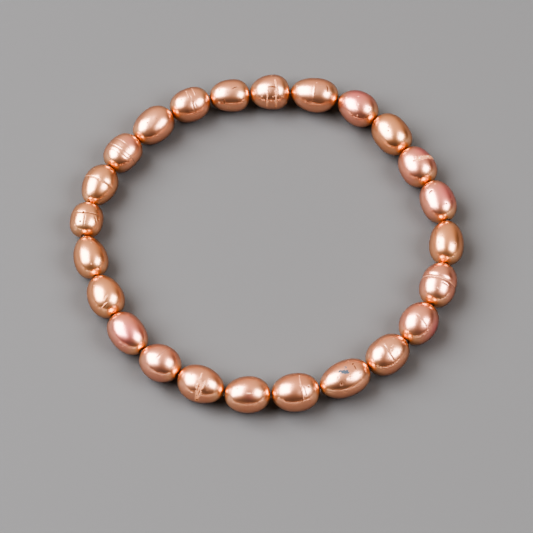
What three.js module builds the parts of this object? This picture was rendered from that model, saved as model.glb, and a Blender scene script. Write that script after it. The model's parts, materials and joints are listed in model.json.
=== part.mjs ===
// A bracelet of twenty-four oval pearls threaded on a clear elastic, lying flat as a closed ring.
// Millimetres, +Z up, with the surface that it lies on at z = 0 and the origin below the middle of the ring.

import * as THREE from 'three';

// A middling pearl of the string: its length along the drill hole, and its width across it.
const PEARL_LENGTH = 7.8;
const PEARL_WIDTH = 6.2;
// Room between neighbouring pearls where they come closest.
const PEARL_GAP = 0.1;
// The elastic, and the room all round it in the drill holes.
const ELASTIC_DIAMETER = 0.7;
const DRILL_CLEARANCE = 0.15;

// Facets: sides and lengthwise steps of a pearl, and sides of the elastic.
const PEARL_SIDES = 16;
const PEARL_STEPS = 12;
const ELASTIC_SIDES = 8;

// The pearls in their order round the ring, clockwise as seen from above, from the middle of the far side.
// length and width are shares of the middling pearl. taper is how much fuller the leading end is than the
// middle, and bluntness is the power of the outline's superellipse, where 2 is a plain ellipse. heading is the
// way that the pearl's drill hole points, in degrees from +X.
const PEARLS = [
  { length: 0.91, width: 1.02, taper: 0.14, bluntness: 2.2, heading: 3, tint: 'peach' },
  { length: 1.1, width: 0.99, taper: 0.1, bluntness: 2.1, heading: -8, tint: 'peach' },
  { length: 0.99, width: 1, taper: 0.07, bluntness: 2, heading: -32, tint: 'rose' },
  { length: 1.02, width: 1.02, taper: 0.03, bluntness: 2.3, heading: -52, tint: 'gold' },
  { length: 0.97, width: 1.01, taper: 0.02, bluntness: 2.3, heading: -59, tint: 'rose' },
  { length: 1.01, width: 0.99, taper: 0, bluntness: 2.3, heading: -67, tint: 'rose' },
  { length: 1.06, width: 0.99, taper: 0.1, bluntness: 2.1, heading: -94, tint: 'gold' },
  { length: 1.05, width: 1.03, taper: 0.05, bluntness: 2.2, heading: -108, tint: 'rose' },
  { length: 1.03, width: 1.06, taper: 0.01, bluntness: 2, heading: -123, tint: 'rose' },
  { length: 1.04, width: 1.04, taper: 0.02, bluntness: 2.2, heading: -142, tint: 'peach' },
  { length: 1.18, width: 1.02, taper: -0.08, bluntness: 2.1, heading: -154, tint: 'peach' },
  { length: 1.08, width: 1.06, taper: -0.04, bluntness: 2.1, heading: -173, tint: 'peach' },
  { length: 1.02, width: 1.03, taper: -0.02, bluntness: 2.1, heading: 178, tint: 'peach' },
  { length: 1.08, width: 1.03, taper: 0.06, bluntness: 2.1, heading: 155, tint: 'peach' },
  { length: 0.98, width: 1.04, taper: -0.02, bluntness: 2, heading: 145, tint: 'rose' },
  { length: 1.06, width: 1.01, taper: 0.05, bluntness: 2.1, heading: 126, tint: 'rose' },
  { length: 1.03, width: 1.01, taper: -0.09, bluntness: 2.1, heading: 113, tint: 'gold' },
  { length: 1.02, width: 0.96, taper: -0.12, bluntness: 2.1, heading: 107, tint: 'gold' },
  { length: 0.8, width: 0.94, taper: 0, bluntness: 2.5, heading: 83, tint: 'gold' },
  { length: 1.01, width: 0.97, taper: 0.09, bluntness: 2.1, heading: 65, tint: 'gold' },
  { length: 0.92, width: 0.98, taper: 0.03, bluntness: 2.4, heading: 50, tint: 'peach' },
  { length: 1.02, width: 0.99, taper: 0.05, bluntness: 2.2, heading: 42, tint: 'peach' },
  { length: 0.93, width: 0.97, taper: 0.02, bluntness: 2.3, heading: 24, tint: 'peach' },
  { length: 0.91, width: 0.94, taper: 0.13, bluntness: 2.3, heading: 6, tint: 'peach' },
];

// The nacre's body colours and shine, and those of the elastic.
const TINTS = { peach: '#d6a084', rose: '#cf9a90', gold: '#d3ae84' };
const NACRE_ROUGHNESS = 0.22;
const NACRE_METALNESS = 0.4;
const ELASTIC_COLOUR = '#e9e6df';
const ELASTIC_ROUGHNESS = 0.3;
const ELASTIC_OPACITY = 0.6;

const drillRadius = ELASTIC_DIAMETER / 2 + DRILL_CLEARANCE;
// All drill holes lie at one height, that of a middling pearl's middle.
const stringHeight = PEARL_WIDTH / 2;
const count = PEARLS.length;

// Half the turn that the string makes from one pearl to the next, in radians.
function halfTurn(pearl, next) {
  const turn = THREE.MathUtils.degToRad(next.heading - pearl.heading);
  return Math.abs(Math.atan2(Math.sin(turn), Math.cos(turn))) / 2;
}

// How far an end of a pearl keeps from its joint with the neighbour, along its own drill hole.
// The whole skin, a superellipse, stays half the gap behind the plane that halves the turn at the joint.
function endRoom(halfLength, halfWidth, bluntness, half) {
  const power = bluntness / (bluntness - 1);
  const along = (halfLength * Math.cos(half)) ** power;
  const across = (halfWidth * Math.sin(half)) ** power;
  const reach = (along + across) ** (1 / power);
  return (reach + PEARL_GAP / 2) / Math.cos(half) - halfLength;
}

// One step of the string for each pearl: the pearl's own length and the room at both its ends.
function stringSteps() {
  return PEARLS.map((pearl, index) => {
    const before = PEARLS[(index + count - 1) % count];
    const after = PEARLS[(index + 1) % count];
    const length = pearl.length * PEARL_LENGTH;
    const halfWidth = (pearl.width * PEARL_WIDTH) / 2;
    const tailWidth = halfWidth * (1 - pearl.taper);
    const leadWidth = halfWidth * (1 + pearl.taper);
    const tailRoom = endRoom(length / 2, tailWidth, pearl.bluntness, halfTurn(before, pearl));
    const leadRoom = endRoom(length / 2, leadWidth, pearl.bluntness, halfTurn(pearl, after));
    return { tailRoom, leadRoom, pitch: tailRoom + length + leadRoom };
  });
}

// The joints between the pearls, walked from heading to heading. The little that is missing for the ring to
// close is shared out evenly along the string.
function stringJoints(steps) {
  const joints = [new THREE.Vector2(0, 0)];
  const travel = [0];
  PEARLS.forEach((pearl, index) => {
    const angle = THREE.MathUtils.degToRad(pearl.heading);
    const step = new THREE.Vector2(Math.cos(angle), Math.sin(angle)).multiplyScalar(steps[index].pitch);
    joints.push(joints[index].clone().add(step));
    travel.push(travel[index] + steps[index].pitch);
  });
  const missing = joints[count].clone().negate();
  return joints.map((joint, index) => joint.clone().addScaledVector(missing, travel[index] / travel[count]));
}

// A drilled pearl, long along X and centred on its drill hole. The closed profile runs along the skin from one
// mouth of the hole to the other and back down the hole. The pearl is drilled a little off its middle: its
// skin is raised or lowered so that its lowest point lies restDepth below the drill hole's axis. A tapered
// skin is widest a little before its fat end, where it is 1 + taper² / 2 times as wide as in the middle.
function pearlGeometry(length, width, taper, bluntness, restDepth) {
  const fullness = width / 2 / (1 + (taper * taper) / 2);
  const mouthAngle = (end) => Math.asin((drillRadius / (fullness * (1 + end * taper))) ** (bluntness / 2));
  const firstAngle = mouthAngle(-1);
  const lastAngle = Math.PI - mouthAngle(1);
  const skin = [];
  for (let step = 0; step <= PEARL_STEPS; step += 1) {
    const angle = firstAngle + ((lastAngle - firstAngle) * step) / PEARL_STEPS;
    const along = -Math.sign(Math.cos(angle)) * Math.abs(Math.cos(angle)) ** (2 / bluntness);
    const radius = fullness * Math.sin(angle) ** (2 / bluntness) * (1 + taper * along);
    const atMouth = step === 0 || step === PEARL_STEPS;
    skin.push(new THREE.Vector2(atMouth ? drillRadius : radius, (along * length) / 2));
  }
  const widest = Math.max(...skin.map((point) => point.x));
  const geometry = new THREE.LatheGeometry([...skin, skin[0].clone()], PEARL_SIDES);
  geometry.rotateZ(-Math.PI / 2);
  const places = geometry.attributes.position;
  for (let index = 0; index < places.count; index += 1) {
    const radius = Math.hypot(places.getY(index), places.getZ(index));
    const share = (radius - drillRadius) / (widest - drillRadius);
    places.setZ(index, places.getZ(index) + share * (widest - restDepth));
  }
  geometry.computeVertexNormals();
  return geometry;
}

function makePearl(pearl, index, joints, steps) {
  const start = joints[index];
  const chord = joints[index + 1].clone().sub(start);
  const { tailRoom, leadRoom } = steps[index];
  const length = chord.length() - tailRoom - leadRoom;
  const width = pearl.width * PEARL_WIDTH;
  const material = new THREE.MeshStandardMaterial({
    color: TINTS[pearl.tint],
    roughness: NACRE_ROUGHNESS,
    metalness: NACRE_METALNESS,
  });
  const mesh = new THREE.Mesh(
    pearlGeometry(length, width, pearl.taper, pearl.bluntness, stringHeight),
    material,
  );
  const middle = start.clone().addScaledVector(chord.clone().normalize(), tailRoom + length / 2);
  mesh.name = `pearl_${String(index + 1).padStart(2, '0')}`;
  mesh.rotation.z = chord.angle();
  mesh.position.set(middle.x, middle.y, stringHeight);
  return mesh;
}

// The elastic: a closed tube with one ring of vertices at each joint, in the plane that halves the turn there,
// so that it runs straight through every drill hole. A torus gives the faces, and its rings are then placed.
// The torus runs the other way round than the pearls, so its rings take the joints in reverse order.
function elasticGeometry(joints) {
  const radius = ELASTIC_DIAMETER / 2;
  const geometry = new THREE.TorusGeometry(1, radius, ELASTIC_SIDES, count);
  const places = geometry.attributes.position;
  const frames = [];
  for (let index = 0; index <= count; index += 1) {
    const joint = (count - index) % count;
    const arriving = joints[joint].clone().sub(joints[(joint + count - 1) % count]).normalize();
    const leaving = joints[joint + 1].clone().sub(joints[joint]).normalize();
    const along = arriving.clone().add(leaving).normalize();
    const mitre = 1 / along.dot(leaving);
    frames.push({ point: joints[joint], outward: new THREE.Vector2(-along.y, along.x), mitre });
  }
  for (let side = 0; side <= ELASTIC_SIDES; side += 1) {
    const angle = (2 * Math.PI * side) / ELASTIC_SIDES;
    frames.forEach(({ point, outward, mitre }, index) => {
      const place = point.clone().addScaledVector(outward, radius * mitre * Math.cos(angle));
      places.setXYZ(side * (count + 1) + index, place.x, place.y, radius * Math.sin(angle));
    });
  }
  geometry.computeVertexNormals();
  return geometry;
}

function makeElastic(joints) {
  const material = new THREE.MeshStandardMaterial({
    color: ELASTIC_COLOUR,
    roughness: ELASTIC_ROUGHNESS,
    metalness: 0,
    transparent: true,
    opacity: ELASTIC_OPACITY,
  });
  const mesh = new THREE.Mesh(elasticGeometry(joints), material);
  mesh.name = 'elastic_thread';
  mesh.position.z = stringHeight;
  return mesh;
}

const steps = stringSteps();
const joints = stringJoints(steps);
const bracelet = new THREE.Group();
PEARLS.forEach((pearl, index) => bracelet.add(makePearl(pearl, index, joints, steps)));
bracelet.add(makeElastic(joints));

// The ring is centred over the origin, with its height as it is: the pearls rest on z = 0.
bracelet.updateMatrixWorld(true);
const middle = new THREE.Box3().setFromObject(bracelet, true).getCenter(new THREE.Vector3());
bracelet.position.set(-middle.x, -middle.y, 0);

export default bracelet;
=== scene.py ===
"""A bracelet of twenty-four oval pearls on a clear elastic, lying flat on a pale studio floor."""
import json
import math
from typing import NamedTuple

import bpy
import numpy as np
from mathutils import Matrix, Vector


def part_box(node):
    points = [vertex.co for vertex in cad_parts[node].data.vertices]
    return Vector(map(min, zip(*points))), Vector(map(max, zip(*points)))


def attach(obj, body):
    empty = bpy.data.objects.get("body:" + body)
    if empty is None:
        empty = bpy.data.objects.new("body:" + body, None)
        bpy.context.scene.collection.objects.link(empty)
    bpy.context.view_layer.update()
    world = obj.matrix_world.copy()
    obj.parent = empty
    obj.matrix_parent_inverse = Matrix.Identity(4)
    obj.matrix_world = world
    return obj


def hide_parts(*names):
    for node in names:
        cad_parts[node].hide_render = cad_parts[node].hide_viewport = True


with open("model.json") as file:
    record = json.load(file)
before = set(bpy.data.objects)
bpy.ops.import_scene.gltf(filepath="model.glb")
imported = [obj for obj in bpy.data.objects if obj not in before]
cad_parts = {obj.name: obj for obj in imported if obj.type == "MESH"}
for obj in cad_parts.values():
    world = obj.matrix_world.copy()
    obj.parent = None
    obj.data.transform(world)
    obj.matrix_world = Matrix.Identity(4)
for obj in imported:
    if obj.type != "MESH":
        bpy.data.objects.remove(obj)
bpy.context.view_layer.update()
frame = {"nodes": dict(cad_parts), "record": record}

MM = 0.001
PEARL_NAMES = ["pearl_%02d" % number for number in range(1, 25)]

# The camera's place, measured from the photograph: it looks down at the ring from the near side.
CAMERA_TARGET = np.array([-0.006, -3.483, 0]) * MM
CAMERA_ELEVATION = math.radians(63.94)
CAMERA_DISTANCE = 683.7 * MM
VIEW_WIDTH = 93.5 * MM
SENSOR_WIDTH = 36
NEAREST_SEEN = 10 * MM


def make_camera():
    """A camera at the distance and angle given above, aimed at the target."""
    data = bpy.data.cameras.new("camera")
    data.sensor_width = SENSOR_WIDTH
    data.lens = SENSOR_WIDTH * CAMERA_DISTANCE / VIEW_WIDTH
    data.clip_start = NEAREST_SEEN
    camera = bpy.data.objects.new("camera", data)
    away = np.array([0, -math.cos(CAMERA_ELEVATION), math.sin(CAMERA_ELEVATION)])
    camera.location = CAMERA_TARGET + CAMERA_DISTANCE * away
    camera.rotation_euler = (math.pi / 2 - CAMERA_ELEVATION, 0, 0)
    bpy.context.collection.objects.link(camera)
    bpy.context.scene.camera = camera


class Socket:
    """An output socket of a node tree. Sums, differences and products of sockets add Math nodes."""

    def __init__(self, tree, out=None):
        self.tree = tree
        self.out = out

    def node(self, kind, inputs=None, output=0, **settings):
        """Adds a node: first its settings, then the values or links of its input sockets."""
        made = self.tree.nodes.new(kind)
        for name, value in settings.items():
            setattr(made, name, value)
        for name, value in (inputs or {}).items():
            if isinstance(value, Socket):
                self.tree.links.new(value.out, made.inputs[name])
            else:
                made.inputs[name].default_value = value
        return Socket(self.tree, made.outputs[output] if made.outputs else None)

    def math(self, operation, *values):
        """One Math node on values or sockets."""
        return self.node("ShaderNodeMath", dict(enumerate(values)), operation=operation)

    def __add__(self, other):
        return self.math("ADD", self, other)

    def __sub__(self, other):
        return self.math("SUBTRACT", self, other)

    def __rsub__(self, other):
        return self.math("SUBTRACT", other, self)

    def __mul__(self, other):
        return self.math("MULTIPLY", self, other)

    def __abs__(self):
        return self.math("ABSOLUTE", self)

    def larger(self, other):
        """The larger of this socket and another."""
        return self.math("MAXIMUM", self, other)

    def facing(self, way):
        """How nearly this direction has a given way: the cosine of the angle between them."""
        return self.node("ShaderNodeVectorMath", {0: self, 1: way}, output="Value", operation="DOT_PRODUCT")

    def between(self, low, high):
        """A number from low to high, as this socket goes from 0 to 1."""
        return self * (high - low) + low

    def smooth(self, low, high):
        """0 below low, 1 above high, and a smooth step between them."""
        return self.node(
            "ShaderNodeMapRange",
            {"Value": self, "From Min": low, "From Max": high},
            interpolation_type="SMOOTHSTEP",
        )

    def mix(self, first, second):
        """A colour from the first to the second of two colours, as this socket goes from 0 to 1."""
        return self.node("ShaderNodeMix", {0: self, 6: first, 7: second}, output=2, data_type="RGBA")


def make_material(name, shade):
    """A material whose surface is what the function shade returns for its emptied node tree."""
    material = bpy.data.materials.new(name)
    material.use_nodes = True
    material.node_tree.nodes.clear()
    tree = Socket(material.node_tree)
    tree.node("ShaderNodeOutputMaterial", {"Surface": shade(tree)})
    return material


class Softbox(NamedTuple):
    """A rectangular light: where it stands as seen from the ring, in degrees, and its sides in metres.

    glow is its own brightness, and haze that of the lit air and wall round it.
    """
    name: str
    azimuth: float
    elevation: float
    width: float
    height: float
    glow: float
    haze: float


SOFTBOX_DISTANCE = 1.0
SOFTBOX_COLOUR = (0.92, 0.98, 1.08)
SOFTBOXES = (
    Softbox("left_softbox", azimuth=-82, elevation=47, width=1.0, height=0.85, glow=12.0, haze=0.8),
    Softbox("right_softbox", azimuth=105, elevation=47, width=0.64, height=0.57, glow=10.8, haze=0.6),
)


def way_to(box):
    """The way from the ring to a softbox, one metre long."""
    azimuth = math.radians(box.azimuth)
    elevation = math.radians(box.elevation)
    flat = math.cos(elevation)
    return Vector((math.sin(azimuth) * flat, math.cos(azimuth) * flat, math.sin(elevation)))


def make_softbox(box):
    """An area light that faces the ring. Its power is pi times its area times its glow."""
    data = bpy.data.lights.new(box.name, "AREA")
    data.shape = "RECTANGLE"
    data.size = box.width
    data.size_y = box.height
    data.energy = math.pi * box.width * box.height * box.glow
    data.color = SOFTBOX_COLOUR
    light = bpy.data.objects.new(box.name, data)
    light.location = SOFTBOX_DISTANCE * way_to(box)
    light.rotation_euler = way_to(box).to_track_quat("Z", "Y").to_euler()
    bpy.context.collection.objects.link(light)


# The room's own warm light: its glow everywhere, from overhead, and from high on the far side. Each pair of
# edges gives the cosines at which a glow starts and is full.
ROOM_COLOUR = (1.0, 0.87, 0.75, 1)
ROOM_GLOW = 0.02
ROOM_OVERHEAD_GLOW = 0.2
ROOM_OVERHEAD_EDGES = (0.3, 1.0)
ROOM_FAR_GLOW = 1.05
ROOM_FAR_WAY = (0, 0.8, 0.6)
ROOM_FAR_EDGES = (0.4, 1.0)
HAZE_EDGES = (0.68, 0.97)
BACKGROUND_GLOW = 0.75
# A pale strip along the foot of the near walls, which each pearl mirrors as a thin line.
BAND_WAY = (0, -1, 0)
BAND_HEIGHT = 0.025
BAND_GLOW = 11.0
BAND_EDGES = (-0.1, 0.6)
# How the picture is developed: bright places turn pale, and dark ones keep a deep colour.
PICTURE_VIEW = "AgX"
PICTURE_LOOK = "AgX - Very High Contrast"
PICTURE_EXPOSURE = -0.7


def make_room():
    """A dim warm world, with more glow overhead, from high on the far side, and round each softbox.

    A pale strip runs along its foot on the near side. Where the camera sees it straight, it is plain and pale.
    """
    world = bpy.data.worlds.new("room")
    world.use_nodes = True
    world.node_tree.nodes.clear()
    tree = Socket(world.node_tree)
    way = tree.node("ShaderNodeTexCoord", output="Generated")
    height = tree.node("ShaderNodeSeparateXYZ", {"Vector": way}, output="Z")
    far = way.facing(ROOM_FAR_WAY).smooth(*ROOM_FAR_EDGES) * ROOM_FAR_GLOW
    glow = far + height.smooth(*ROOM_OVERHEAD_EDGES) * ROOM_OVERHEAD_GLOW + ROOM_GLOW
    for box in SOFTBOXES:
        glow = glow + way.facing(way_to(box)).smooth(*HAZE_EDGES) * box.haze
    strip = 1 - abs(height - BAND_HEIGHT).smooth(0, BAND_HEIGHT)
    band = strip * way.facing(BAND_WAY).smooth(*BAND_EDGES) * BAND_GLOW
    room = tree.node("ShaderNodeBackground", {"Color": ROOM_COLOUR, "Strength": glow + band})
    seen = tree.node("ShaderNodeBackground", {"Strength": BACKGROUND_GLOW})
    straight = tree.node("ShaderNodeLightPath", output="Is Camera Ray")
    shown = tree.node("ShaderNodeMixShader", {0: straight, 1: room, 2: seen})
    tree.node("ShaderNodeOutputWorld", {"Surface": shown})
    bpy.context.scene.world = world
    picture = bpy.context.scene.view_settings
    picture.view_transform = PICTURE_VIEW
    picture.look = PICTURE_LOOK
    picture.exposure = PICTURE_EXPOSURE


FLOOR_RADIUS = 1.5
FLOOR_CORNERS = 96
FLOOR_COLOUR = (0.137, 0.131, 0.124, 1)
FLOOR_ROUGHNESS = 0.7


def floor_shader(tree):
    """A plain matt surface."""
    return tree.node("ShaderNodeBsdfPrincipled", {"Base Color": FLOOR_COLOUR, "Roughness": FLOOR_ROUGHNESS})


def make_floor():
    """A round, plain pale floor: one polygon whose corners lie on a circle."""
    turn = np.linspace(0, 2 * np.pi, FLOOR_CORNERS, endpoint=False)
    rim = FLOOR_RADIUS * np.stack([np.cos(turn), np.sin(turn), np.zeros_like(turn)], axis=1)
    mesh = bpy.data.meshes.new("floor")
    mesh.from_pydata(rim, [], [list(range(FLOOR_CORNERS))])
    mesh.materials.append(make_material("floor", floor_shader))
    floor = bpy.data.objects.new("floor", mesh)
    bpy.context.collection.objects.link(floor)


# Corner points of a solid that agree to this many decimals of a metre are one point.
POINT_DECIMALS = 7


def node_points(name):
    """The corner points of a solid, each once, in metres."""
    mesh = frame["nodes"][name].data
    points = np.empty(3 * len(mesh.vertices))
    mesh.vertices.foreach_get("co", points)
    return np.unique(points.reshape(-1, 3).round(POINT_DECIMALS), axis=0)


# How far the elastic's points at a turn may lie from the midpoint between two pearls' middles.
CORNER_REACH = 2 * MM


def string_corners():
    """The points where the elastic turns, one before each pearl.

    The elastic's solid has a ring of points at each turn. A corner is the middle of the ring that lies near
    the midpoint between a pearl and the pearl before it.
    """
    thread = node_points("elastic_thread")
    middles = np.array([np.mean([tuple(corner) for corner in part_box(name)], axis=0) for name in PEARL_NAMES])
    corners = []
    for midpoint in (middles + np.roll(middles, 1, axis=0)) / 2:
        ring = thread[np.hypot(thread[:, 0] - midpoint[0], thread[:, 1] - midpoint[1]) < CORNER_REACH]
        corners.append((ring.min(axis=0) + ring.max(axis=0)) / 2)
    return np.array(corners)


def smooth_curve(knots, count):
    """count points evenly spaced along a smooth curve through all knots but the first and the last.

    Between two knots it is the cubic whose slope at each knot is that of the line between its neighbours,
    with the knots as far apart as their first two columns are.
    """
    steps = np.linalg.norm(np.diff(knots[:, :2], axis=0), axis=1)
    reach = np.concatenate([[0], np.cumsum(steps)])
    slopes = (knots[2:] - knots[:-2]) / (reach[2:] - reach[:-2])[:, None]
    inner = knots[1:-1]
    places = reach[1:-1]
    wanted = np.linspace(places[0], places[-1], count)
    left = np.clip(np.searchsorted(places, wanted, side="right") - 1, 0, len(inner) - 2)
    span = (places[left + 1] - places[left])[:, None]
    share = (wanted[:, None] - places[left][:, None]) / span
    right = left + 1
    rest = 1 - share
    from_left = (1 + 2 * share) * rest ** 2 * inner[left] + share * rest ** 2 * span * slopes[left]
    from_right = (3 - 2 * share) * share ** 2 * inner[right] - rest * share ** 2 * span * slopes[right]
    return from_left + from_right


# The fine mesh of a pearl: points round the drill hole, rows from mouth to mouth, and rows back down the hole.
ROUND_POINTS = 144
SKIN_ROWS = 96
HOLE_ROWS = 4
# Points of a pearl's solid that lie this near each other along the drill hole are one ring.
RING_STEP = 0.02 * MM


def pearl_profile(points):
    """Rows of place along the drill hole, radius of the skin there, and how far its middle is raised.

    The solid's points lie in rings across the drill hole, and each ring gives one knot of a smooth curve. The
    curve leaves the mouths as if the knots went on, mirrored, beyond the hole's axis.
    """
    points = points[np.argsort(points[:, 0])]
    rings = np.split(points, np.flatnonzero(np.diff(points[:, 0]) > RING_STEP) + 1)
    top = np.array([ring[:, 2].max() for ring in rings])
    bottom = np.array([ring[:, 2].min() for ring in rings])
    place = np.array([ring[:, 0].mean() for ring in rings])
    knots = np.stack([place, (top - bottom) / 2, (top + bottom) / 2], axis=1)
    mirrored = knots * (1, -1, 1)
    return smooth_curve(np.vstack([mirrored[:1], knots, mirrored[-1:]]), SKIN_ROWS)


class Mark(NamedTuple):
    """A flaw in the skin of a pearl of this number. Its path has points of (share, degrees round the hole).

    The share goes from -1 to 1 at the leading end, and the degrees count outwards from the top. width is half
    the mark's width and relief its height, in millimetres, below zero for a groove. chalk, brown, cool and pink
    are how strongly it has each of those colours, and chalk turns from dull to white as it grows past 1. On
    some ridges and groove edges the chalk is a painted highlight, and in some valleys the brown is painted
    shade. ragged is how broken up it is.
    """
    pearl: int
    path: tuple
    width: float
    relief: float = 0
    chalk_and_highlight: float = 0
    brown_and_shade: float = 0
    cool: float = 0
    pink: float = 0
    ragged: float = 0


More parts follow.
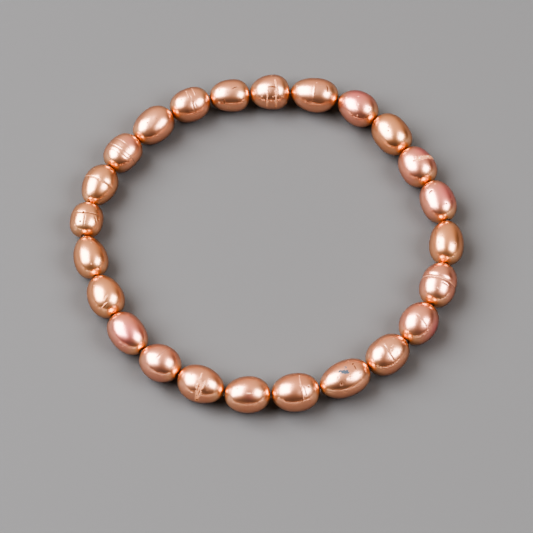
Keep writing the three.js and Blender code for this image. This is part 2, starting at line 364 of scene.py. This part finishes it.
MARKS = (
    # Two chalky bands down the inner side, the right one in two strands, with a brown line between them.
    Mark(1, ((-0.12, -10), (-0.17, -50), (-0.19, -95)), 0.14, 0.02, chalk_and_highlight=1.1, ragged=0.6),
    Mark(1, ((0.26, 19), (0.33, -10), (0.39, -24), (0.35, -42)), 0.13, 0.03, chalk_and_highlight=1.8, ragged=0.3),
    Mark(1, ((0.27, -12), (0.27, -35), (0.27, -95)), 0.17, 0.02, chalk_and_highlight=1.6, ragged=0.7),
    Mark(1, ((-0.14, -9), (0.31, -12)), 0.11, -0.02, brown_and_shade=1.1),
    Mark(1, ((0.37, 28),), 0.7, 0.06),
    Mark(1, ((0.08, -40),), 0.55, 0.015),
    # A dark hooked notch beside a flat with a raised edge.
    Mark(2, ((0.48, 15), (0.55, 4), (0.56, -12)), 0.13, -0.05, brown_and_shade=0.75),
    Mark(2, ((0.02, 40), (0.01, -10), (0.02, -60)), 0.16, 0.03),
    Mark(2, ((0.28, 40), (0.28, -60)), 0.45, -0.012),
    Mark(2, ((0.07, 2), (0.25, 4), (0.43, 10)), 0.14, -0.02, brown_and_shade=0.35),
    # Small dark pits on two pearls, and a pink side on the first.
    Mark(3, ((0.64, -6),), 0.13, -0.04, brown_and_shade=0.9),
    Mark(3, ((-0.30, 20),), 2.8, pink=1),
    Mark(4, ((0.07, -19),), 0.15, -0.05, brown_and_shade=0.9),
    # A broken chalky band across the outer side, and a pink end.
    Mark(5, ((-0.04, -20), (0.04, 10), (0.09, 40), (0.10, 85)), 0.37, 0.02, chalk_and_highlight=1.9, ragged=0.8),
    Mark(5, ((-0.35, 40),), 2.2, pink=1),
    # A dark hook, a pit and a pale dot on pink skin.
    Mark(6, ((-0.34, -12), (-0.31, -22), (-0.24, -29)), 0.15, -0.06, brown_and_shade=0.75),
    Mark(6, ((0.51, 13),), 0.15, -0.04, brown_and_shade=0.7),
    Mark(6, ((0.54, 59),), 0.12, 0.015, chalk_and_highlight=1),
    Mark(6, ((0.0, 25),), 2.4, pink=1),
    # Two tiny pits.
    Mark(7, ((0.31, 30),), 0.11, -0.02, brown_and_shade=0.7),
    Mark(7, ((-0.01, -16),), 0.11, -0.02, brown_and_shade=0.6),
    # A waist with a cream line along it, a brown one below that, and a short groove.
    Mark(8, ((-0.06, -130), (-0.06, 0), (-0.05, 130)), 0.42, -0.14),
    Mark(8, ((0.02, -90), (-0.02, 0), (-0.04, 25), (0.0, 90)), 0.20, 0.02, chalk_and_highlight=0.6, ragged=0.2),
    Mark(8, ((0.08, -90), (0.05, 0), (0.04, 90)), 0.10, -0.03, brown_and_shade=0.5),
    Mark(8, ((0.17, 12), (0.20, 38)), 0.10, -0.05, brown_and_shade=0.65),
    Mark(8, ((0.20, 38), (0.16, 85)), 0.12, -0.03, brown_and_shade=0.25),
    # Short lines across the next two pearls, and dents on the second.
    Mark(9, ((0.02, -10), (0.12, 10), (0.23, 46)), 0.13, -0.035, brown_and_shade=0.4),
    Mark(9, ((0.15, 18), (0.22, 42)), 0.1, -0.02, brown_and_shade=0.6),
    Mark(9, ((-0.1, 80),), 1.8, pink=1),
    Mark(10, ((0.05, -18), (0.13, 13), (0.13, 52)), 0.13, -0.035, brown_and_shade=0.5),
    Mark(10, ((0.13, 15), (0.13, 46)), 0.1, -0.02, brown_and_shade=0.6),
    Mark(10, ((0.0, -22), (0.08, 5)), 0.18, 0.02, chalk_and_highlight=0.2),
    Mark(10, ((0.20, -20), (0.28, 20)), 0.3, 0.03),
    Mark(10, ((-0.03, 15),), 0.13, -0.04, brown_and_shade=0.6),
    Mark(10, ((-0.22, 32),), 0.2, -0.04),
    Mark(10, ((-0.12, -30),), 0.2, -0.03),
    Mark(10, ((-0.24, 4),), 0.16, 0.02, chalk_and_highlight=0.7),
    # A grey-blue stain, a dark pit and a few dents.
    Mark(11, ((0.22, -12), (0.04, 0), (-0.17, 8)), 0.36, -0.015, cool=1.6, ragged=0.7),
    Mark(11, ((-0.02, -18), (-0.14, -6)), 0.34, cool=1, ragged=0.8),
    Mark(11, ((-0.40, -17), (-0.44, -15)), 0.20, -0.06, brown_and_shade=1.6),
    Mark(11, ((-0.43, -12), (-0.43, 9)), 0.11, -0.02, brown_and_shade=0.8),
    Mark(11, ((0.32, 32),), 0.24, -0.09, brown_and_shade=0.9),
    Mark(11, ((0.33, 7),), 0.12, -0.03, brown_and_shade=0.7),
    Mark(11, ((-0.08, 18), (-0.12, 34)), 0.30, -0.02, chalk_and_highlight=0.8, ragged=0.9),
    Mark(11, ((-0.32, -12), (-0.20, 8)), 0.6, -0.02, brown_and_shade=0.22),
    Mark(11, ((0.10, 24),), 0.25, 0.03),
    Mark(11, ((0.32, 68),), 0.11, 0.01, chalk_and_highlight=0.9),
    Mark(11, ((-0.05, 56),), 0.09, 0.01, chalk_and_highlight=0.7),
    Mark(11, ((0.90, 60), (0.93, 90)), 0.2, -0.05, chalk_and_highlight=0.6, brown_and_shade=0.3, ragged=0.5),
    # A raised line with a groove beside it, painted pale along the ridge as a highlight.
    Mark(12, ((-0.20, -50), (-0.21, 0), (-0.25, 35), (-0.27, 75)), 0.22, 0.03, chalk_and_highlight=0.42),
    Mark(12, ((-0.31, 3), (-0.36, 20), (-0.40, 42)), 0.11, -0.03, brown_and_shade=0.65),
    Mark(12, ((-0.54, 7),), 0.13, -0.05, brown_and_shade=0.9),
    # A short raised line painted white as a glint, with a brown one beside it, on a pink patch.
    Mark(13, ((0.04, 20), (-0.20, 20)), 0.10, 0.02, chalk_and_highlight=1.7),
    Mark(13, ((0.02, 16), (-0.16, 16)), 0.11, -0.02, brown_and_shade=0.4),
    Mark(13, ((-0.1, 30),), 0.9, pink=0.8),
    Mark(13, ((0.37, -39),), 0.09, 0.01, chalk_and_highlight=0.8),
    Mark(13, ((0.27, 73),), 0.09, 0.01, chalk_and_highlight=0.8),
    # A chalky scar with three white arms and dark pits.
    Mark(14, ((0.0, 8), (-0.13, 34), (-0.17, 64)), 0.52, -0.02, chalk_and_highlight=1.35, ragged=0.7),
    Mark(14, ((-0.15, 50), (-0.17, 92)), 0.36, -0.02, chalk_and_highlight=1.3, ragged=0.6),
    Mark(14, ((0.03, -16), (-0.01, 12)), 0.12, chalk_and_highlight=1.8),
    Mark(14, ((0.06, 12), (0.09, 35)), 0.13, chalk_and_highlight=1.7),
    Mark(14, ((-0.27, 4), (-0.24, 36)), 0.15, chalk_and_highlight=1.7),
    Mark(14, ((-0.08, 20), (-0.10, 50)), 0.10, -0.05, brown_and_shade=0.7),
    Mark(14, ((-0.10, 30),), 0.12, -0.04, brown_and_shade=0.9),
    Mark(14, ((-0.20, 46),), 0.12, -0.04, brown_and_shade=0.9),
    Mark(14, ((-0.12, 62),), 0.12, -0.04, brown_and_shade=0.9),
    Mark(14, ((-0.17, 34), (-0.20, 62)), 0.09, -0.05, brown_and_shade=0.6),
    Mark(14, ((-0.17, 82),), 0.18, -0.06, brown_and_shade=0.9),
    Mark(14, ((-0.47, 34),), 0.14, 0.02, chalk_and_highlight=0.5),
    # A fine scratch and two pale dots.
    Mark(15, ((0.04, 16), (-0.03, -14), (-0.08, -50)), 0.11, -0.04, brown_and_shade=0.35),
    Mark(15, ((0.08, 64),), 0.09, 0.01, chalk_and_highlight=0.8),
    Mark(15, ((-0.77, 72),), 0.09, 0.01, chalk_and_highlight=0.8),
    Mark(16, ((-0.2, 10),), 2.4, pink=0.9),
    # Short slanting scratches, two pale and one brown.
    Mark(17, ((-0.45, 20), (-0.33, -5)), 0.09, -0.04, chalk_and_highlight=0.8),
    Mark(17, ((-0.71, 52), (-0.61, 6)), 0.09, 0.015, chalk_and_highlight=0.7),
    Mark(17, ((-0.80, 44), (-0.69, 6)), 0.12, -0.004, brown_and_shade=0.35),
    # A ring, a long crease in a valley painted brown as shade, an arc on each side of it, and two dark dots.
    Mark(19, ((0.14, 60), (0.05, 7), (0.11, -60)), 0.13, -0.02, brown_and_shade=0.7),
    Mark(19, ((-0.05, 2), (-0.40, 2), (-0.75, 2)), 0.10, -0.04, brown_and_shade=0.7, ragged=0.4),
    # Painted shade: the valley between the two highlights darkened brown.
    Mark(19, ((-0.08, -8), (-0.75, -8)), 0.30, brown_and_shade=0.3),
    Mark(19, ((0.02, -31), (-0.35, -45), (-0.72, -66)), 0.14, -0.03, brown_and_shade=0.25),
    Mark(19, ((0.01, 46), (-0.3, 50), (-0.59, 56)), 0.14, -0.03, brown_and_shade=0.25),
    Mark(19, ((0.07, 9),), 0.19, -0.06, brown_and_shade=1.3),
    Mark(19, ((-0.49, 17),), 0.18, -0.05, brown_and_shade=1.2),
    # Rings across two pearls, on the first one pale on one side of a pale knot and brown on the other.
    Mark(20, ((0.05, 85), (-0.03, -8), (-0.02, -80)), 0.12, -0.05, brown_and_shade=0.3),
    Mark(20, ((0.06, 85), (-0.02, 10), (-0.03, -10)), 0.15, chalk_and_highlight=0.5),
    Mark(20, ((-0.03, -7),), 0.2, chalk_and_highlight=1.1),
    Mark(20, ((-0.03, -16), (-0.02, -50)), 0.12, -0.02, brown_and_shade=0.6),
    Mark(20, ((-0.02, 15), (-0.04, -75)), 0.42, -0.05),
    Mark(21, ((-0.20, 70), (-0.21, -3), (-0.11, -49), (-0.04, -105)), 0.11, -0.05, brown_and_shade=0.4),
    Mark(21, ((-0.15, 70), (-0.16, -3), (-0.06, -49)), 0.10, 0.02, chalk_and_highlight=0.35),
    Mark(21, ((0.17, 60), (0.17, 0), (0.15, -30)), 0.1, -0.04, brown_and_shade=0.4),
    Mark(21, ((-0.44, 40), (-0.41, 0), (-0.30, -48)), 0.1, -0.04, chalk_and_highlight=0.4),
    Mark(21, ((0.6, -10),), 1.5, pink=1),
    # A shallow valley with a pit, its middle painted brown as shade.
    Mark(22, ((0.35, 20), (-0.2, -8), (-0.65, -36)), 0.6, -0.03),
    Mark(22, ((0.15, -9), (-0.50, -18)), 0.32, brown_and_shade=0.28),
    Mark(22, ((0.10, -10),), 0.12, -0.03, brown_and_shade=0.6),
    # Two grooves, each with a pale line along it painted as a highlight on its edge, and a short one.
    Mark(23, ((0.04, 40), (0.01, -9), (-0.04, -60)), 0.15, -0.03, brown_and_shade=0.4),
    Mark(23, ((0.36, 40), (0.34, -12)), 0.12, -0.03, brown_and_shade=0.35),
    Mark(23, ((0.31, 42), (0.29, -6)), 0.09, 0.01, chalk_and_highlight=0.75),
    Mark(23, ((-0.02, 42), (-0.05, -8)), 0.09, 0.01, chalk_and_highlight=0.65),
    Mark(23, ((0.11, -25), (0.11, -45)), 0.1, -0.03, brown_and_shade=0.4),
    # A brown line, a notch and a pale dot.
    Mark(24, ((0.13, -5), (0.30, 2), (0.49, 4)), 0.17, -0.04, brown_and_shade=0.7),
    Mark(24, ((-0.34, -40), (-0.33, -58)), 0.18, -0.06, brown_and_shade=0.8, chalk_and_highlight=0.4),
    Mark(24, ((0.18, -85),), 0.11, 0.01, chalk_and_highlight=0.9),
)

# Tiny pale specks strewn over each pearl: how many, how far along it, and what each is like as a mark.
SPECKS = 9
SPECK_REACH = 0.85
SPECK_WIDTH = 0.13
SPECK_RELIEF = 0.01
SPECK_CHALK = 0.8
# Steps in which a mark's path is followed, and how late a line thins out towards its ends.
PATH_STEPS = 8
THINNING_POWER = 6
# The least squared length of a step, which keeps the division sound where a mark is a dot.
LEAST_STEP = 1e-9
# The seed of the skins' unevenness, and of the marks' broken edges.
SEED = 24


class Waves(NamedTuple):
    """A kind of unevenness: its wavelength and height in millimetres, and how many waves make it up."""
    length: float
    height: float
    count: int


# The lumps of the skin, and the grain that breaks up ragged marks.
LUMPS = (Waves(6.0, 0.05, 6), Waves(2.6, 0.004, 10), Waves(1.2, 0.0008, 12))
GRAIN = (Waves(0.45, 1.0, 24),)


def uneven(places, kinds, draws):
    """A smooth random height at each place: a sum of plane waves with random ways and phases."""
    height = np.zeros(places.shape[:-1])
    for kind in kinds:
        ways = draws.normal(size=(kind.count, 3))
        ways *= 2 * np.pi / kind.length / np.linalg.norm(ways, axis=1, keepdims=True)
        phases = draws.uniform(0, 2 * np.pi, kind.count)
        waves = np.sin(places @ ways.T + phases)
        height += kind.height * waves.sum(axis=-1) / math.sqrt(kind.count)
    return height


def mark_strength(mark, share, turn, half_length, radius, grain):
    """How strongly a mark shows at each point of the skin, from 0 to 1: a bell curve over the distance to it.

    The skin is taken as flat near the mark, with its length one way and the arc round the hole the other.
    A line thins out towards its ends, and the grain breaks a ragged mark up.
    """
    path = np.array(mark.path, float)
    if len(path) == 1:
        path = np.vstack([path, path])
    else:
        ends = np.vstack([2 * path[0] - path[1], path, 2 * path[-1] - path[-2]])
        path = smooth_curve(ends, PATH_STEPS + 1)
    nearest = np.full(turn.shape, np.inf)
    progress = np.zeros(turn.shape)
    arc = np.radians(radius)
    for step, (start, end) in enumerate(zip(path[:-1], path[1:])):
        across = (share - start[0]) * half_length
        around = ((turn - start[1] + 180) % 360 - 180) * arc
        way_across = (end[0] - start[0]) * half_length
        way_around = (end[1] - start[1]) * arc
        length = way_across ** 2 + way_around ** 2
        along = np.clip((across * way_across + around * way_around) / np.maximum(length, LEAST_STEP), 0, 1)
        distance = np.hypot(across - along * way_across, around - along * way_around)
        nearer = distance < nearest
        nearest = np.where(nearer, distance, nearest)
        progress = np.where(nearer, (step + along) / (len(path) - 1), progress)
    thinning = 1 if len(mark.path) == 1 else 1 - (2 * progress - 1) ** THINNING_POWER
    broken = 1 - mark.ragged * np.clip(0.5 + 0.5 * grain, 0, 1)
    return np.exp(-((nearest / mark.width) ** 2)) * thinning * broken


STAINS_AND_PAINTED_LIGHT = ("chalk_and_highlight", "brown_and_shade", "cool", "pink")
# How far from its mouths a pearl is warmer in tint, in millimetres: a painted glow of light reflected from
# the neighbouring pearls.
PAINTED_END_GLOW_WIDTH = 1.1
# How much wider than the drill hole the skin is where lumps and marks have their full height, in millimetres.
SETTLED_WIDTH = 0.6


def make_pearl(number, name, start, end, material, slot):
    """A pearl of the solid's shape, with its skin made uneven and marked.

    The skin is a grid of rows along the drill hole and points round it, each at its row's radius from the
    row's middle. Lumps and marks move it along its normals, and rows down the hole close it. The stains, with
    the painted highlights and shade that some marks carry, are kept as attributes of the points, and so is
    "end", a bell curve over the distance to the nearer mouth, which places a painted warm glow of light
    reflected from the neighbouring pearls.
    """
    along = (end - start) / np.linalg.norm(end - start)
    up = np.array([0, 0, 1])
    axes = np.array([along, np.cross(up, along), up])
    profile = pearl_profile((node_points(name) - start) @ axes.T)
    place, radius, rise = (column[:, None] for column in profile.T)
    turn = np.linspace(0, 2 * np.pi, ROUND_POINTS, endpoint=False)[None, :]
    skin = np.stack(np.broadcast_arrays(place, radius * np.sin(turn), radius * np.cos(turn) + rise), axis=-1)

    lengthwise = np.gradient(skin, axis=0)
    roundwise = np.roll(skin, -1, axis=1) - np.roll(skin, 1, axis=1)
    normals = np.cross(lengthwise, roundwise)
    normals /= np.linalg.norm(normals, axis=-1, keepdims=True)

    draws = np.random.default_rng(SEED + number)
    in_mm = skin / MM
    height = uneven(in_mm, LUMPS, draws)
    grain = uneven(in_mm, GRAIN, draws)
    half_length = (place[-1, 0] - place[0, 0]) / 2
    share = (place - place[0, 0]) / half_length - 1
    stains_and_painted_light = {channel: np.zeros(height.shape) for channel in STAINS_AND_PAINTED_LIGHT}
    specks = zip(draws.uniform(-SPECK_REACH, SPECK_REACH, SPECKS), draws.uniform(0, 360, SPECKS))
    own_marks = [mark for mark in MARKS if mark.pearl == number]
    own_marks += [Mark(number, (speck,), SPECK_WIDTH, SPECK_RELIEF, chalk_and_highlight=SPECK_CHALK) for speck in specks]
    for mark in own_marks:
        strength = mark_strength(mark, share, np.degrees(turn), half_length / MM, radius / MM, grain)
        height += mark.relief * strength
        for channel in STAINS_AND_PAINTED_LIGHT:
            stains_and_painted_light[channel] = np.maximum(stains_and_painted_light[channel], getattr(mark, channel) * strength)

    # The mouths of the drill hole stay as they are, and nothing reaches below the floor.
    hole_radius = radius[0, 0]
    settled = np.clip((radius - hole_radius) / (SETTLED_WIDTH * MM), 0, 1)
    skin = skin + (height * settled * MM)[..., None] * normals
    skin[..., 2] = np.maximum(skin[..., 2], -start[2])

    back = np.linspace(1, 0, HOLE_ROWS + 2)[1:-1, None] * (place[-1, 0] - place[0, 0]) + place[0, 0]
    hole = np.stack(
        np.broadcast_arrays(back, hole_radius * np.sin(turn), hole_radius * np.cos(turn)), axis=-1)
    grid = np.concatenate([skin, hole]) @ axes + start
    piece = grid_piece("nacre_%02d" % number, grid, material)
    reach = (1 - np.abs(share)) * half_length / MM
    stains_and_painted_light["end"] = np.broadcast_to(np.exp(-((reach / PAINTED_END_GLOW_WIDTH) ** 2)), height.shape)
    for channel, values in stains_and_painted_light.items():
        padded = np.concatenate([values, np.zeros(hole.shape[:-1])])
        piece.data.attributes.new(channel, "FLOAT", "POINT").data.foreach_set("value", padded.ravel())
    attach(piece, "root")
    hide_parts(name)


# Edges that turn more than this, at the mouths of the drill holes, are shaded as sharp.
SHARP_ANGLE = math.radians(50)


def grid_piece(name, grid, material):
    """A smooth object from a grid of points that closes on itself both ways."""
    rows, columns = grid.shape[:2]
    row, column = np.meshgrid(np.arange(rows), np.arange(columns), indexing="ij")
    next_row = (row + 1) % rows
    next_column = (column + 1) % columns
    corners = ((row, column), (next_row, column), (next_row, next_column), (row, next_column))
    faces = np.stack([r * columns + c for r, c in corners], axis=-1).reshape(-1, 4)
    mesh = bpy.data.meshes.new(name)
    mesh.vertices.add(rows * columns)
    mesh.vertices.foreach_set("co", grid.ravel())
    mesh.loops.add(faces.size)
    mesh.loops.foreach_set("vertex_index", faces.ravel())
    mesh.polygons.add(len(faces))
    mesh.polygons.foreach_set("loop_start", np.arange(0, faces.size, 4))
    mesh.update(calc_edges=True)
    mesh.polygons.foreach_set("use_smooth", np.ones(len(faces), bool))
    mesh.set_sharp_from_angle(angle=SHARP_ANGLE)
    mesh.materials.append(material)
    piece = bpy.data.objects.new(name, mesh)
    bpy.context.collection.objects.link(piece)
    return piece


class Flaw(NamedTuple):
    """A kind of flaw: its colour, how much the speckle breaks it up, and where it starts and is full."""
    colour: tuple
    speckle: float
    edges: tuple


# Besides chalky nacre, the chalk colour paints highlights on some raised lines and groove edges.
CHALK_AND_HIGHLIGHT = Flaw((0.68, 0.31, 0.17, 1), speckle=0.5, edges=(0.25, 0.55))
# Besides brown flaws, the brown colour paints shade in some valleys.
BROWN_AND_SHADE = Flaw((0.13, 0.045, 0.018, 1), speckle=0.3, edges=(0.1, 0.7))
COOL = Flaw((0.09, 0.115, 0.14, 1), speckle=0.5, edges=(0.3, 0.6))
# Strong chalk turns white, and this white also paints a glint on one raised line. A pearl's ends are warm:
# painted light reflected from the neighbouring pearls.
WHITE_CHALK_AND_HIGHLIGHT = (0.95, 0.66, 0.52, 1)
WHITE_EDGES = (1.3, 1.7)
PAINTED_END_GLOW_TINT = (0.94, 0.63, 0.42, 1)

# Noise in the nacre: soft clouds of colour, the speckle of flaws, and the skin's fine unevenness.
NOISE_MEAN = 0.5
CLOUDS = {"Scale": 230, "Detail": 3}
CLOUD_EDGES = (0.35, 0.65)
SPECKLE = {"Scale": 3500, "Detail": 2}
PEEL = {"Scale": 1400, "Detail": 2}
PEEL_HEIGHT = 0.006 * MM
SPECKLE_HEIGHT = 0.05 * MM

# What each setting of the shader is in a flaw, and on clear skin. Brown and cool flaws keep some lustre.
METALLIC = (0.05, 0.93)
ROUGHNESS = (0.65, 0.3)
COAT_WEIGHT = (0.05, 0.85)
DULLING = 0.8


class Nacre(NamedTuple):
    """A tint of nacre: its body colour, the colour that clouds it, and its blush."""
    body: tuple
    cloud: tuple
    blush: tuple


NACRES = {
    "peach_nacre": Nacre((0.83, 0.465, 0.335, 1), (0.84, 0.50, 0.36, 1), (0.85, 0.41, 0.36, 1)),
    "rose_nacre": Nacre((0.86, 0.46, 0.37, 1), (0.87, 0.49, 0.38, 1), (0.94, 0.38, 0.41, 1)),
    "gold_nacre": Nacre((0.82, 0.46, 0.285, 1), (0.83, 0.49, 0.315, 1), (0.83, 0.42, 0.30, 1)),
}


def nacre_shader(tint):
    """Nacre with a clouded body colour, its flaws' colours, a metallic lustre and a clear outer layer."""
    def shade(tree):
        place = tree.node("ShaderNodeTexCoord", output="Object")

        def noise(settings):
            return tree.node("ShaderNodeTexNoise", {"Vector": place, **settings})

        def channel(name):
            return tree.node("ShaderNodeAttribute", output="Fac", attribute_name=name)

        def spread(strength, flaw):
            return (strength + (speckle - NOISE_MEAN) * flaw.speckle).smooth(*flaw.edges)

        speckle = noise(SPECKLE)
        # Besides real flaws, the chalk colour paints highlights on some ridges, and the brown one shade in some
        # valleys.
        chalk_and_highlight = channel("chalk_and_highlight")
        chalky_and_highlit = spread(chalk_and_highlight, CHALK_AND_HIGHLIGHT)
        browned_and_shaded = spread(channel("brown_and_shade"), BROWN_AND_SHADE)
        cooled = spread(channel("cool"), COOL)
        body = noise(CLOUDS).smooth(*CLOUD_EDGES).mix(tint.body, tint.cloud)
        # The warm tint at the ends is painted light reflected from the neighbouring pearls.
        blushed_with_painted_end_glow = channel("end").mix(channel("pink").mix(body, tint.blush), PAINTED_END_GLOW_TINT)
        bleached_and_highlit = chalk_and_highlight.smooth(*WHITE_EDGES).mix(CHALK_AND_HIGHLIGHT.colour, WHITE_CHALK_AND_HIGHLIGHT)
        chalked_and_highlit = chalky_and_highlit.mix(blushed_with_painted_end_glow, bleached_and_highlit)
        lustre = 1 - chalky_and_highlit.larger(cooled * DULLING).larger(browned_and_shaded * DULLING)
        relief = noise(PEEL) * PEEL_HEIGHT + speckle * chalky_and_highlit * SPECKLE_HEIGHT
        return tree.node("ShaderNodeBsdfPrincipled", {
            "Base Color": cooled.mix(browned_and_shaded.mix(chalked_and_highlit, BROWN_AND_SHADE.colour), COOL.colour),
            "Metallic": lustre.between(*METALLIC),
            "Roughness": lustre.between(*ROUGHNESS),
            "IOR": 1.6,
            "Specular Tint": (0.38, 0.24, 0.16, 1),
            "Coat Weight": lustre.between(*COAT_WEIGHT),
            "Coat Roughness": 0.03,
            "Coat IOR": 1.55,
            "Coat Tint": (1.0, 0.82, 0.70, 1),
            "Normal": tree.node("ShaderNodeBump", {"Height": relief, "Distance": 1.0}),
        })
    return shade


# The elastic's mesh: rows on each pearl's stretch, and points round the cord.
ELASTIC_ROWS_A_PEARL = 24
ELASTIC_POINTS = 16
# Where the elastic, straight in a drill hole, starts to bend towards the next: a share of the way.
BEND_START = 0.08


def elastic_shader(tree):
    """Clear, slightly milky stretch cord."""
    return tree.node("ShaderNodeBsdfPrincipled", {
        "Base Color": (0.88, 0.82, 0.76, 1),
        "Roughness": 0.15,
        "Transmission Weight": 0.9,
        "IOR": 1.45,
    })


def make_elastic(corners):
    """A closed round tube along the string: straight in each drill hole, and bent smoothly between two holes.

    Its route has three knots on each pearl's stretch. Each row of the tube is a circle across the route.
    """
    low, high = (np.array(corner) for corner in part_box("elastic_thread"))
    radius = (high[2] - low[2]) / 2
    chords = np.roll(corners, -1, axis=0) - corners
    shares = np.array([BEND_START, 0.5, 1 - BEND_START])[None, :, None]
    knots = (corners[:, None] + shares * chords[:, None]).reshape(-1, 3)
    looped = np.vstack([knots[-1:], knots, knots[:2]])
    route = smooth_curve(looped, ELASTIC_ROWS_A_PEARL * len(corners) + 1)[:-1]
    way = np.roll(route, -1, axis=0) - np.roll(route, 1, axis=0)
    way /= np.linalg.norm(way, axis=1, keepdims=True)
    up = np.array([0, 0, 1])
    out = np.cross(up, way)
    turn = np.linspace(0, 2 * np.pi, ELASTIC_POINTS, endpoint=False)[None, :, None]
    grid = route[:, None] + radius * (np.sin(turn) * out[:, None] + np.cos(turn) * up)
    piece = grid_piece("clear_elastic", grid, make_material("clear_elastic", elastic_shader))
    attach(piece, "root")
    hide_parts("elastic_thread")


def main():
    """The scene, then the pearls in turn, and the elastic through them."""
    make_camera()
    make_room()
    make_floor()
    for box in SOFTBOXES:
        make_softbox(box)
    slots = {part["node"]: part["material_slot"] for part in frame["record"]["subparts"]}
    materials = {slot: make_material(slot, nacre_shader(tint)) for slot, tint in NACRES.items()}
    corners = string_corners()
    for index, name in enumerate(PEARL_NAMES):
        slot = slots[name]
        make_pearl(index + 1, name, corners[index], corners[(index + 1) % len(corners)], materials[slot], slot)
    make_elastic(corners)


main()
